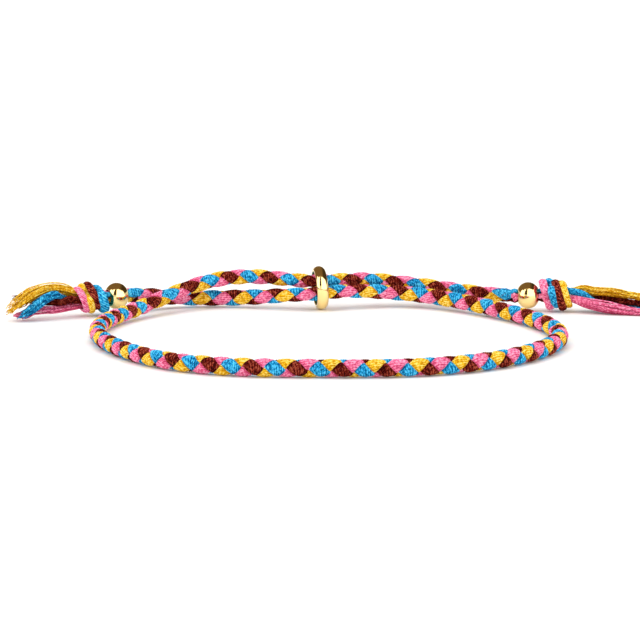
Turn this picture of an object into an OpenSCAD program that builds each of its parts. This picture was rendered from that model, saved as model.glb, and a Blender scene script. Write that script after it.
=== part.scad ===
// Friendship bracelet: a round braid of four floss bundles, whose two ends overlap at the back
// through one gold slider ring. Each end carries a gold bead, a knot and a tassel.
// It lies on its side as put down, with the floor at z = 0.

/* [Braid] */
// Diameter of the braided cord along the loop
cord_d = 2.6; // [2.3:0.05:3.2]
// Length of cord in which a strand goes once round it
braid_turn = 6.1; // [5.6:0.1:7]
// How far a strand swings in and out between under and over, as a share of the cord's radius
weave_depth = 0.27; // [0.25:0.005:0.29]
// Thickness of a strand in the braid, as a share of the cord's radius
strand_thick = 0.41; // [0.36:0.01:0.44]
// Clearance between neighbouring strands
strand_gap = 0.1; // [0.08:0.01:0.14]
// Turn of the pattern at the left bead, in degrees
pattern_turn = 24; // [0:5:355]

/* [Slider ring] */
// Outer diameter of the ring
ring_d = 6.6; // [6.2:0.1:7.6]
// Hole of the ring
ring_hole = 5.1; // [4.8:0.1:5.6]
// Width of the ring along the cord
ring_w = 1.7; // [1.4:0.1:2.6]
// Lean of the ring to the left, in degrees
ring_lean = 4; // [0:1:8]
// Turn of the ring about the vertical, in degrees
ring_yaw = 9; // [0:1:12]

/* [Beads] */
// Diameter of a bead
bead_d = 4; // [3.6:0.1:4.6]
// Length of a bead along the cord
bead_l = 3.4; // [2.8:0.1:3.8]
// Hole of a bead
bead_hole = 2; // [1.9:0.05:2.3]

/* [Knots] */
// Diameter of a knot
knot_d = 5.2; // [4.8:0.1:5.8]
// Length of cord that a knot takes up
knot_l = 3.8; // [3.6:0.1:5.2]
// Lean of the bands round a knot, as a length along the cord
knot_slant = 0.55; // [0:0.05:0.9]
// Diameter of one bundle where it runs straight through a bead
bundle_d = 0.74; // [0.6:0.02:0.78]

/* [Tassels] */
// Length of the left tassel
tassel_left_l = 11.5; // [8:0.5:16]
// Length of the right tassel
tassel_right_l = 14; // [8:0.5:18]
// How far the locks of a tassel spread
tassel_spread = 5; // [3:0.5:7]
// Thickness of a lock at its fullest
lock_d = 2; // [1.4:0.1:2.4]

/* [Hidden] */

// Middle of the footprint, taken off every place below
footprint_mid = [2.38, -17.1];
section_sides = 5;
ring_fn = 96;
bead_fn = 64;
ring_y = 10;
pair_angle = 37;
// Angle of the yellow strand where it leaves a knot, from the outside of the loop through the top
LEFT_YELLOW = 90;
RIGHT_YELLOW = 35;
squeeze = 0.83;
cord_r = cord_d / 2;
// In the ring the two cords lie side by side and on a slant
pair_half = (ring_hole / 2 - cord_r * squeeze) * 0.94;
ring_z = ring_d / 2 * cos(ring_lean) + ring_w / 4 * sin(ring_lean) + 0.02;
low_y = ring_y - pair_half * cos(pair_angle);
low_z = ring_z - pair_half * sin(pair_angle);
high_y = ring_y + pair_half * cos(pair_angle);
high_z = ring_z + pair_half * sin(pair_angle);
knot_z = knot_d / 2 + 0.05;
bead_z = max(bead_d / 2 + 0.3, knot_z - 0.25);
floor_z = cord_r + 0.02;
tip_z = lock_d / 2 + 0.4;

// Directions of the two tassels, level with the floor
left_way = [-0.9, -0.44];
right_way = [0.99, -0.14];
left_knot = [-34.5, 3.9];
right_knot = [35.7, 8.2];
left_bead = [-30.5, 5.0];
right_bead = [31.5, 8.0];

// Route of the cord's axis from the left tassel's tips to the right tassel's tips, chosen by eye
ROUTE = [
    concat(left_knot + left_way * (knot_l / 2 + tassel_left_l), tip_z),
    concat(left_knot + left_way * (knot_l / 2 + tassel_left_l * 0.6), tip_z + 0.4),
    concat(left_knot + left_way * (knot_l / 2 + 1.5), knot_z - 0.3),
    concat(left_knot, knot_z + 0.1),
    concat(left_bead, bead_z + 0.45),
    [-26.8, 8.7, floor_z + 1.2],
    [-22.5, 11.7, floor_z + 0.25],
    [-17.5, 12.7, floor_z],
    [-12.5, 12.1, floor_z + 0.15],
    [-7.5, 10.6, (floor_z + low_z) / 2],
    [-3, low_y, low_z],
    [0, low_y, low_z],
    [3, low_y + 0.8, low_z + 0.44],
    [7.5, 11.5, floor_z + 1.28],
    [12.5, 12.5, floor_z + 0.83],
    [17.5, 10.8, floor_z + 0.53],
    [23, 5.9, floor_z + 0.23],
    [28, -0.8, floor_z + 0.03],
    [32.1, -8.2, floor_z],
    [34.5, -16.9, floor_z],
    [34.2, -26, floor_z],
    [30.6, -34.8, floor_z],
    [24.5, -42.4, floor_z],
    [16.5, -47.3, floor_z],
    [8.5, -49, floor_z],
    [0, -48.7, floor_z],
    [-8, -48.7, floor_z],
    [-15.5, -46.6, floor_z],
    [-22.2, -42.2, floor_z],
    [-27.5, -34.1, floor_z],
    [-31.2, -25.3, floor_z],
    [-32.45, -16.7, floor_z],
    [-31.4, -8.1, floor_z],
    [-28.2, -0.8, floor_z + 0.05],
    [-24.2, 5.3, floor_z + 0.9],
    [-19.6, 9.8, floor_z + 2.3],
    [-14.5, 12.1, floor_z + 3.35],
    [-9, 12.3, high_z + 0.65],
    [-3, high_y + 0.1, high_z],
    [0, high_y, high_z],
    [3, high_y + 0.6, high_z + 0.05],
    [7, 13.7, high_z],
    [12, 15.1, floor_z + 2.05],
    [17, 13.9, floor_z + 1.6],
    [22, 11.8, floor_z + 1.2],
    [26.8, 9, (bead_z + floor_z + 1) / 2],
    concat(right_bead, bead_z),
    concat(right_knot, knot_z + 0.1),
    concat(right_knot + right_way * (knot_l / 2 + 1.5), knot_z - 0.1),
    concat(right_knot + right_way * (knot_l / 2 + tassel_right_l * 0.6), tip_z + 0.4),
    concat(right_knot + right_way * (knot_l / 2 + tassel_right_l), tip_z),
];

// Places in ROUTE, counted from 0
LEFT_KNOT_PLACE = 3;
LEFT_BEAD_PLACE = 4;
RIGHT_BEAD_PLACE = 46;
RIGHT_KNOT_PLACE = 47;

// How the cord lies: station as a place in ROUTE, roll of the blue and maroon row from the
// outside of the loop through the top, the cord's thickness as a share of cord_d, and the
// length of a turn from there on as a share of braid_turn
LAY = [
    [4, -78, 0.88, 1.108],
    [6.5, -81, 0.93, 1.08],
    [8, -84, 0.98, 1.093],
    [10, -82, squeeze, 1.009],
    [12, -80, squeeze, 1.086],
    [14, -68, 0.94, 1.088],
    [16, -58, 1, 1.133],
    [17.2, -66, 1, 1.132],
    [18.4, -76, 1, 1.32],
    [20.2, -54, 1, 1.004],
    [23, -46, 1, 0.967],
    [24.5, -30, 1, 1.0],
    [25.5, -1, 1, 0.966],
    [27, 23, 1, 0.999],
    [28.5, 72, 0.98, 0.904],
    [29.5, 108, 0.96, 0.995],
    [31.5, 130, 0.93, 0.87],
    [33.5, 157, 0.91, 1.34],
    [34.5, 137, 0.91, 1.28],
    [35.5, 146, 0.92, 1.02],
    [37, 170, 0.9, 1.033],
    [38, 172, squeeze, 1.005],
    [40, 174, squeeze, 1.154],
    [43, 172, 0.92, 1.119],
    [44.4, 154, 0.88, 1.25],
    [44.95, 148, 0.88, 1.45],
    [46, 142, 0.88, 1.45],
];

// Locks of the tassels: share of the length from the knot, places aside and up as shares of
// tassel_spread, and half-width and half-thickness as shares of lock_d
LOCKS_LEFT = [
    // blue
    [[0.05, 0.165, -0.02, 0.25, 0.25], [0.15, 0.11, 0.1, 0.2, 0.2], [0.25, -0.07, 0.21, 0.2, 0.18],
        [0.36, -0.2, 0.33, 0.26, 0.3], [0.5, -0.2, 0.24, 0.34, 0.34], [0.7, -0.2, 0, 0.36, 0.32],
        [0.9, -0.22, -0.17, 0.28, 0.14]],
    // maroon
    [[0.05, -0.165, 0.02, 0.25, 0.25], [0.15, -0.17, 0.09, 0.3, 0.3], [0.25, -0.14, 0.04, 0.29, 0.24],
        [0.35, 0.04, 0.07, 0.3, 0.28], [0.5, 0.23, 0.14, 0.32, 0.32], [0.66, 0.46, 0.24, 0.3, 0.27],
        [0.82, 0.56, 0.28, 0.18, 0.16]],
    // yellow
    [[0.05, 0.01, 0.24, 0.28, 0.3], [0.15, 0.06, 0.36, 0.4, 0.4], [0.35, 0.14, 0.46, 0.48, 0.44],
        [0.6, 0.12, 0.4, 0.6, 0.46], [0.8, 0.06, 0.21, 0.56, 0.4], [1, 0, 0, 0.34, 0.2]],
    // pink
    [[0.05, -0.01, -0.17, 0.25, 0.25], [0.2, 0, -0.16, 0.34, 0.28], [0.36, -0.04, -0.15, 0.34, 0.28],
        [0.6, 0.07, -0.1, 0.34, 0.26], [0.78, 0.06, -0.16, 0.32, 0.22], [0.92, 0.05, -0.18, 0.2, 0.12]],
];
LOCKS_RIGHT = [
    // blue
    [[0.05, -0.11, 0.12, 0.25, 0.25], [0.15, -0.06, 0.07, 0.25, 0.25], [0.28, 0.02, -0.13, 0.22, 0.22],
        [0.45, 0.08, -0.28, 0.28, 0.24], [0.75, 0.06, -0.24, 0.3, 0.2], [0.97, 0.05, -0.22, 0.18, 0.12]],
    // maroon
    [[0.05, 0.1, -0.14, 0.25, 0.25], [0.18, 0.27, -0.1, 0.3, 0.28], [0.42, 0.22, -0.07, 0.34, 0.26],
        [0.7, 0.15, -0.08, 0.32, 0.24], [1, 0.16, -0.06, 0.2, 0.16]],
    // yellow
    [[0.05, 0.14, 0.1, 0.25, 0.25], [0.15, 0.16, 0.18, 0.34, 0.32], [0.26, 0.13, 0.16, 0.42, 0.34],
        [0.45, 0.14, 0.19, 0.48, 0.33], [0.7, 0.14, 0.16, 0.42, 0.26], [0.95, 0.2, 0.1, 0.24, 0.2]],
    // pink
    [[0.05, -0.15, -0.1, 0.26, 0.26], [0.2, -0.26, -0.16, 0.4, 0.36], [0.42, -0.32, -0.2, 0.58, 0.42],
        [0.68, -0.38, -0.24, 0.5, 0.28], [1, -0.42, -0.2, 0.34, 0.18]],
];

// The bands round each knot, for blue, maroon, yellow, pink: place from the bead outwards, size
// as a share of knot_d, share of its thickness that it loses on one side, and the angle where it
// stays full
BANDS_LEFT = [[0, 0.98, 0.6, 222], [1, 1, 0.4, 95], [2, 0.95, 0.25, 165], [3, 0.86, 0.3, 250]];
BANDS_RIGHT = [[1, 1, 0.4, 110], [2, 1, 0.3, 255], [3, 0.86, 0.3, 190], [0, 0.94, 0.1, 180]];

// Where the bands meet, as shares of knot_l from the bead outwards
EDGES_LEFT = [0, 0.32, 0.57, 0.78, 1];
EDGES_RIGHT = [0, 0.26, 0.5, 0.76, 1];

function unit(v) = v / norm(v);
function wrap(a) = a - 360 * floor((a + 180) / 360);
function mid3(p) = [p[0] - footprint_mid[0], p[1] - footprint_mid[1], p[2]];

// Smooth curve near the chosen points
CONTROL = concat([2 * ROUTE[0] - ROUTE[1]], ROUTE,
    [2 * ROUTE[len(ROUTE) - 1] - ROUTE[len(ROUTE) - 2]]);
CURVE_STEPS = 12;
function blend(i, t) = (pow(1 - t, 3) * CONTROL[i] + (3 * pow(t, 3) - 6 * t * t + 4) * CONTROL[i + 1]
    + (-3 * pow(t, 3) + 3 * t * t + 3 * t + 1) * CONTROL[i + 2] + pow(t, 3) * CONTROL[i + 3]) / 6;
CURVE = [for (i = [0 : len(ROUTE) - 2]) for (k = [0 : CURVE_STEPS - 1])
    mid3(blend(i, k / CURVE_STEPS)), mid3(ROUTE[len(ROUTE) - 1])];
LENGTHS = [for (i = 0, s = 0; i < len(CURVE); s = s + (i + 1 < len(CURVE)
    ? norm(CURVE[i + 1] - CURVE[i]) : 0), i = i + 1) s];
AXIS = [for (c = [0 : 2]) [for (i = [0 : len(CURVE) - 1]) [LENGTHS[i], CURVE[i][c]]]];
cord_end = LENGTHS[len(LENGTHS) - 1];

function station(place) = lookup(place * CURVE_STEPS, [for (i = [0 : len(LENGTHS) - 1])
    [i, LENGTHS[i]]]);
function at(s) = [for (c = [0 : 2]) lookup(s, AXIS[c])];
function along(s) = unit(at(min(s + 0.6, cord_end)) - at(max(s - 0.6, 0)));
function outward(t) = unit(cross([0, 0, 1], t));

ROLL = [for (row = LAY) [station(row[0]), row[1]]];
WIDTH = [for (row = LAY) [station(row[0]), row[2]]];

left_bead_s = station(LEFT_BEAD_PLACE);
right_bead_s = station(RIGHT_BEAD_PLACE);
left_knot_s = station(LEFT_KNOT_PLACE);
right_knot_s = station(RIGHT_KNOT_PLACE);

// Turn of the pattern along the cord, and the braided stretch cut into steps of an eighth of a
// turn that begin and end on a crossing at each bead
bead_lead = bead_l / 2 + 0.8;
TURNS = [for (i = 0, a = pattern_turn; i < len(LAY); a = a + (i + 1 < len(LAY)
    ? 360 * (ROLL[i + 1][0] - ROLL[i][0]) / (braid_turn * LAY[i][3]) : 0), i = i + 1)
    [ROLL[i][0], a]];
start_s = left_bead_s + bead_lead;
end_s = right_bead_s - bead_lead;
start_turn = 135 + 180 * round((lookup(start_s, TURNS) - 135) / 180);
braid_steps = 2 + 4 * round((lookup(end_s, TURNS) - start_turn - 90) / 180);
end_turn = start_turn + 45 * braid_steps;
STATIONS = concat([[start_turn, start_s]],
    [for (i = [1 : len(TURNS) - 2]) [TURNS[i][1], TURNS[i][0]]], [[end_turn, end_s]]);

// A strand's sections: station, angle, radius, way round, turn of the section, half-width,
// half-thickness, shape, and the station whose straight line the section is set on
swing = weave_depth * cord_r;
strand_h = strand_thick * cord_r / 2;
braid_mid_r = cord_r - swing - strand_h;

function braid_row(k, way, first) =
    let (turn = start_turn + 45 * k, s = lookup(turn, STATIONS), share = lookup(s, WIDTH),
        step = (lookup(turn + 45, STATIONS) - lookup(turn - 45, STATIONS))
            / (k == 0 || k == braid_steps ? 1 : 2),
        over = way < 0 ? cos(2 * turn) : -cos(2 * turn))
    [s, lookup(s, ROLL) + way * turn + first, share * (braid_mid_r + over * swing), way, 0,
        over > 0.5 ? 1.9 * step - strand_gap / 2 : (over < -0.5 ? 0.66 : 0.84) * step - strand_gap / 2,
        share * strand_h * (over > 0.5 ? 1 : over < -0.5 ? 0.86 : 1.14), "dome", s];

function braid_rows(way, first) = [for (k = [0 : braid_steps]) braid_row(k, way, first)];

// Straight bundles through a bead and a knot. In the knot each takes one full band round the core,
// and the bundles turn together until the yellow one is on top where the tassel begins.
bundle_r = bundle_d / sqrt(2) * 1.04;
core_d = bundle_d * 1.3;
core_r = core_d / sqrt(2) * 1.14;
core_clear_r = (core_r + core_d / 2) / cos(24) + strand_gap;
BAND_TURNS = [22, 42, 90, 135, 180, 225, 270, 318, 338];

function flat_row(s, line, angle, r, d) = [s, angle, r, 1, 90, d / 2, d / 2, "round", line];

function band_row(s, line, angle, turn, side, wide, band) =
    let (rise = turn < 40 || turn > 320, here = angle + side * turn, full_r = band[1] * knot_d / 2,
        h = (full_r - core_clear_r) / 2 * (rise ? 0.6 : 1 - band[2] * (1 - cos(here - band[3])) / 2),
        r = rise ? full_r - h : core_clear_r + h)
    [s - knot_slant * (turn < 30 || turn > 330 ? 0.3 : rise ? 0.7 : 1) * sin(here),
        here, rise ? (core_r + r) / 2 : r, side, rise ? 45 : 0,
        rise ? wide * 0.3 : wide / 2 - strand_gap / 2, h, rise ? "dome" : "band", line];

// Sections of one end, listed from the bead outwards; side is 1 for the right end
function end_rows(bead_s, knot_s, side, angle, twist, band, edges, locks, tassel_l) =
    let (near = knot_s - side * knot_l / 2, far = knot_s + side * knot_l / 2, place = band[0],
        middle = (edges[place] + edges[place + 1]) / 2)
    concat(
        [for (x = [-0.5, 0, 0.5]) flat_row(bead_s + side * x * bead_l, bead_s, angle, bundle_r,
            bundle_d)],
        [for (j = [0 : place]) flat_row(near + side * (j == 0 ? 0.1 : edges[j] * knot_l), knot_s,
            angle + twist * edges[j], core_r, core_d)],
        [for (turn = BAND_TURNS) band_row(near + side * middle * knot_l, knot_s,
            angle + twist * middle, turn, side, (edges[place + 1] - edges[place]) * knot_l, band)],
        [for (j = [place + 1 : 4]) flat_row(near + side * edges[j] * knot_l, knot_s,
            angle + side * 360 + twist * edges[j], core_r, core_d)],
        [for (row = locks) lock_row(far, row, side, tassel_l)]);

function lock_row(far, row, side, tassel_l) =
    let (aside = row[1] * tassel_spread, up = row[2] * tassel_spread)
    [far + side * row[0] * tassel_l, atan2(up, aside), norm([aside, up]), 1, 90,
        row[3] * lock_d, row[4] * lock_d, "lock", far + side * row[0] * tassel_l];

// Shapes of a section: half-round with its flat side outwards in the braid, squarer in a knot's
// bands, and round elsewhere
DOME = [[0, -1], [-0.98, 0.4], [-0.5, 1], [0.5, 1], [0.98, 0.4]];
BAND = [[0, -1], [-1, 0.1], [-0.72, 1], [0.72, 1], [1, 0.1]];
ROUND = [for (i = [0 : section_sides - 1]) -[sin(360 * i / section_sides), cos(360 * i / section_sides)]];

// Corners of one section
function section(row) =
    let (t = along(row[8]), out = outward(t), up = cross(t, out), a = row[1],
        level = row[7] == "lock",
        place = at(row[8]) + (row[0] - row[8]) * t + row[2] * (cos(a) * out + sin(a) * up),
        radial = level ? up : cos(a) * out + sin(a) * up,
        round = level ? -out : -sin(a) * out + cos(a) * up,
        across = row[3] * cos(row[4]) * t - sin(row[4]) * round)
    [for (corner = row[7] == "dome" ? DOME : row[7] == "band" ? BAND : ROUND)
        place + across * row[5] * corner[0] + radial * row[6] * corner[1]];

// One solid swept through the sections
module sweep(rows) {
    n = section_sides;
    last = len(rows) - 1;
    points = [for (row = rows) each section(row)];
    sides = [for (k = [0 : last - 1]) for (i = [0 : n - 1])
        let (j = (i + 1) % n, a = k * n + i, b = k * n + j, c = a + n, d = b + n)
        each (norm(points[a] - points[d]) < norm(points[b] - points[c])
            ? [[a, b, d], [a, d, c]] : [[a, b, c], [b, d, c]])];
    caps = [for (i = [1 : n - 2]) each [[0, i + 1, i], [last * n, last * n + i, last * n + i + 1]]];
    polyhedron(points = points, faces = concat(sides, caps));
}

function backwards(rows) = [for (i = [len(rows) - 1 : -1 : 0]) rows[i]];

// A strand from tip to tip; colour is its place in blue, maroon, yellow, pink
module strand(colour, way, first) {
    braid = braid_rows(way, first);
    start = braid[0][1];
    end = braid[braid_steps][1];
    left_yellow = lookup(start_s, ROLL) + start_turn + 180;
    right_yellow = lookup(end_s, ROLL) + end_turn + 180;
    left = end_rows(left_bead_s, left_knot_s, -1, start, wrap(LEFT_YELLOW - left_yellow),
        BANDS_LEFT[colour], EDGES_LEFT, LOCKS_LEFT[colour], tassel_left_l);
    right = end_rows(right_bead_s, right_knot_s, 1, end, wrap(RIGHT_YELLOW - right_yellow),
        BANDS_RIGHT[colour], EDGES_RIGHT, LOCKS_RIGHT[colour], tassel_right_l);
    sweep(concat(backwards(left), braid, right));
}

module strand_blue() { color("#1f93e0") strand(0, -1, 0); }
module strand_maroon() { color("#5c0d10") strand(1, -1, 180); }
module strand_yellow() { color("#f8b61c") strand(2, 1, 180); }
module strand_pink() { color("#f573a5") strand(3, 1, 0); }

// Ring or bead with a domed outside and a straight hole, its axis along X
module drilled(outer_d, hole_d, width, edge, fn) {
    dome_r = ((outer_d - edge) * (outer_d - edge) / 4 + width * width / 4) / (outer_d - edge);
    rotate([0, 90, 0]) rotate_extrude($fn = fn) intersection() {
        translate([hole_d / 2, -width / 2]) square([outer_d, width]);
        translate([outer_d / 2 - dome_r, 0]) circle(r = dome_r, $fn = 64);
    }
}

module slider_ring() {
    color("#e8b64a")
        translate([-footprint_mid[0], ring_y - footprint_mid[1], ring_z])
        rotate([0, -ring_lean, ring_yaw])
        drilled(ring_d, ring_hole, ring_w, ring_d - 0.9, ring_fn);
}

// A bead threaded on the cord at one station
module bead(s) {
    t = along(s);
    place = at(s);
    color("#e8b64a") translate(place)
        rotate([0, -asin(t[2]), atan2(t[1], t[0])])
        drilled(bead_d, bead_hole, bead_l, 0, bead_fn);
}

module bead_left() { bead(left_bead_s); }
module bead_right() { bead(right_bead_s); }

strand_blue();
strand_maroon();
strand_yellow();
strand_pink();
slider_ring();
bead_left();
bead_right();
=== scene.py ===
"""Friendship bracelet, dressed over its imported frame.

Four floss bundles are braided round one another, pass through a gold bead, are knotted and end
in a tassel at both ends. The two ends overlap inside one gold slider ring. Lengths are in
millimetres until a mesh is made, which is in metres.
"""

from __future__ import annotations

import logging
import math
from dataclasses import dataclass, field
from enum import Enum
from typing import Any, Sequence

import bpy
import numpy as np
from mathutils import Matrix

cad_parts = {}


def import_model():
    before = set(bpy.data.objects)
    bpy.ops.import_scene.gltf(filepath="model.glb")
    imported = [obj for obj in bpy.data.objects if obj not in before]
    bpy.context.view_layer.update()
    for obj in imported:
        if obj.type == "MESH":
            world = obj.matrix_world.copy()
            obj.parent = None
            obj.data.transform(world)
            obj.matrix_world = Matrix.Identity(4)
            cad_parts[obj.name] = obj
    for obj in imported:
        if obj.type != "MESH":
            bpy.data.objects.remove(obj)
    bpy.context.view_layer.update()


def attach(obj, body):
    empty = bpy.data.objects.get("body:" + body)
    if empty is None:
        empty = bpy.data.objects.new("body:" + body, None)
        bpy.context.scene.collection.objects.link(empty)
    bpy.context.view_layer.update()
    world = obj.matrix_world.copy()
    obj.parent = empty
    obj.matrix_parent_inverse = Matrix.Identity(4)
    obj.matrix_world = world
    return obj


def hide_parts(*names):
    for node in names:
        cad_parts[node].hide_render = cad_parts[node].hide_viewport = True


LOG = logging.getLogger("bracelet")
MM = 0.001
PICTURE_WIDTH = 640
Rows = list[tuple[float, ...]]


class Colour(Enum):
    """The four floss colours, with the way each winds and where it starts round the cord."""

    BLUE = ("blue", -1, 0.0, 0)
    MAROON = ("maroon", -1, 180.0, 1)
    YELLOW = ("yellow", 1, 180.0, 2)
    PINK = ("pink", 1, 0.0, 3)

    @property
    def label(self) -> str:
        """Plain name of the colour."""
        return self.value[0]

    @property
    def way(self) -> int:
        """Hand of its helix, 1 or -1."""
        return self.value[1]

    @property
    def first(self) -> float:
        """Angle round the cord at which it starts, in degrees."""
        return self.value[2]

    @property
    def place(self) -> int:
        """Its place in the tables of bands and locks."""
        return self.value[3]


class Value:
    """A number's socket in a node tree, with arithmetic that adds Math nodes."""

    def __init__(self, net: "Net", socket: Any) -> None:
        """Wraps one output socket of a tree."""
        self.net = net
        self.socket = socket

    def math(self, operation: str, *others: "Value | float") -> "Value":
        """Adds one Math node.

        Args:
            operation: The Math node's operation.
            others: Its second and third operands.

        Returns:
            The node's result.
        """
        return self.net.value("ShaderNodeMath", {"operation": operation},
                              {0: self, **{i + 1: v for i, v in enumerate(others)}})

    def _turned(self, operation: str, other: float) -> "Value":
        """The same operation with the operands exchanged."""
        return self.net.value("ShaderNodeMath", {"operation": operation}, {0: other, 1: self})

    def __add__(self, other: "Value | float") -> "Value":
        """Sum."""
        return self.math("ADD", other)

    def __radd__(self, other: float) -> "Value":
        """Sum with the number first."""
        return self._turned("ADD", other)

    def __sub__(self, other: "Value | float") -> "Value":
        """Difference."""
        return self.math("SUBTRACT", other)

    def __rsub__(self, other: float) -> "Value":
        """Difference with the number first."""
        return self._turned("SUBTRACT", other)

    def __mul__(self, other: "Value | float") -> "Value":
        """Product."""
        return self.math("MULTIPLY", other)

    def __rmul__(self, other: float) -> "Value":
        """Product with the number first."""
        return self._turned("MULTIPLY", other)

    def __truediv__(self, other: "Value | float") -> "Value":
        """Quotient."""
        return self.math("DIVIDE", other)

    def __rtruediv__(self, other: float) -> "Value":
        """Quotient with the number first."""
        return self._turned("DIVIDE", other)


class Net:
    """Adds nodes to one tree, for shaders and for geometry."""

    def __init__(self, tree: Any) -> None:
        """Wraps an emptied node tree."""
        self.tree = tree
        tree.nodes.clear()

    def add(self, kind: str, settings: dict[str, Any] | None = None,
            sockets: dict[int | str, Any] | None = None) -> Any:
        """Adds one node.

        Args:
            kind: The node's type name.
            settings: Its properties, which are set first. A ramp's stops go under "stops".
            sockets: Values or links of its inputs, by name or number.

        Returns:
            The new node.
        """
        node = self.tree.nodes.new(kind)
        for key, value in (settings or {}).items():
            if key == "stops":
                ramp = node.color_ramp
                while len(ramp.elements) < len(value):
                    ramp.elements.new(0.5)
                for element, (place, colour) in zip(ramp.elements, value):
                    element.position = place
                    element.color = colour
            else:
                setattr(node, key, value)
        for key, value in (sockets or {}).items():
            target = node.inputs[key]
            source = value.socket if isinstance(value, Value) else value
            if isinstance(source, bpy.types.NodeSocket):
                self.tree.links.new(source, target)
            else:
                target.default_value = source
        return node

    def value(self, kind: str, settings: dict[str, Any] | None = None,
              sockets: dict[int | str, Any] | None = None, output: int | str = 0) -> Value:
        """Adds one node and wraps one of its outputs."""
        return Value(self, self.add(kind, settings, sockets).outputs[output])

    def noise(self, place: Any, scale: float, detail: float) -> Value:
        """Strength of a noise texture at a place."""
        return self.value("ShaderNodeTexNoise", {}, {"Vector": place, "Scale": scale, "Detail": detail},
                          "Fac")

    def mixed(self, share: Value, first: tuple[float, ...], second: tuple[float, ...]) -> Any:
        """Colour between two colours."""
        return self.add("ShaderNodeMix", {"data_type": "RGBA"},
                        {0: share, 6: (*first, 1), 7: (*second, 1)}).outputs[2]

    def finish(self, shader: Any) -> None:
        """Ends a material's tree with its shader."""
        self.add("ShaderNodeOutputMaterial", {}, {0: shader.outputs[0]})


def new_material(name: str) -> tuple[bpy.types.Material, Net]:
    """A material with an empty node tree, and the net that fills it."""
    material = bpy.data.materials.new(name)
    material.use_nodes = True
    return material, Net(material.node_tree)


def linked(name: str, data: Any) -> bpy.types.Object:
    """A new object of a mesh, lamp or camera, unturned at the origin, in the scene."""
    item = bpy.data.objects.new(name, data)
    bpy.context.collection.objects.link(item)
    return item


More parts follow.
